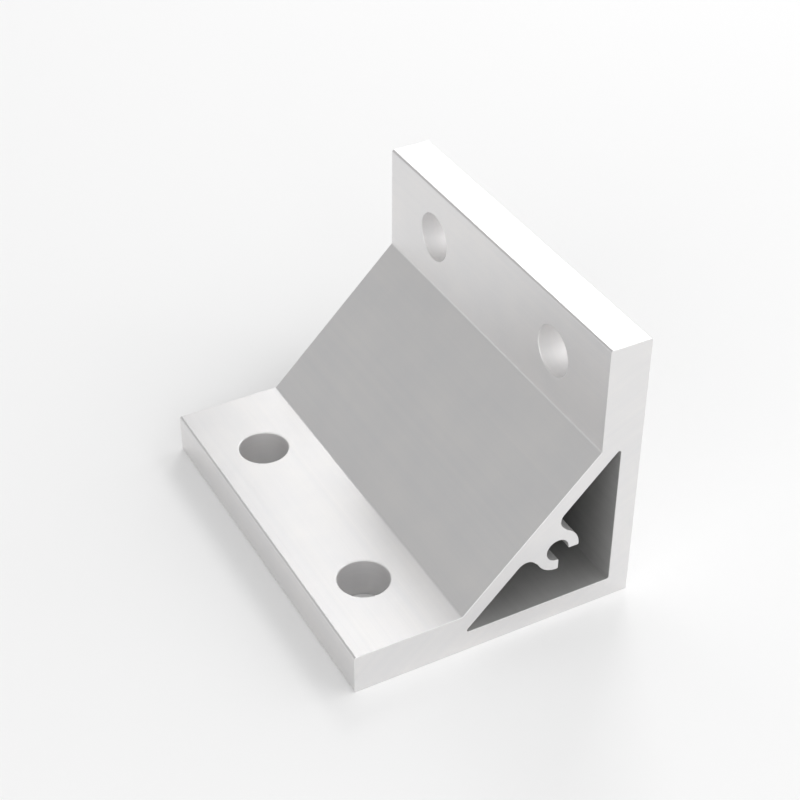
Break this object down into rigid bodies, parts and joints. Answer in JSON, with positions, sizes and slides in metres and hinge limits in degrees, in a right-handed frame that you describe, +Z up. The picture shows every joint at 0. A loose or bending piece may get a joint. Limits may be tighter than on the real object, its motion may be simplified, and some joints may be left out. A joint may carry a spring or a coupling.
{
  "type": "t slot corner bracket",
  "caption": "Extruded aluminium corner bracket for slotted profiles: equal drilled legs joined by a hollow sloping web with a C-shaped screw port.",
  "frame": {"origin": "the outside corner of the bracket, at the middle of its length, where both mounting faces meet", "axes": "+X along the base leg, +Z up along the upright leg, Y along the extrusion; the underside of the base is at Z = 0"},
  "size_m": [0.053, 0.072, 0.053],
  "materials": {
    "anodised_aluminium": "satin"
  },
  "bodies": {
    "root": {"corner_bracket": "anodised_aluminium"}
  },
  "joints": []
}
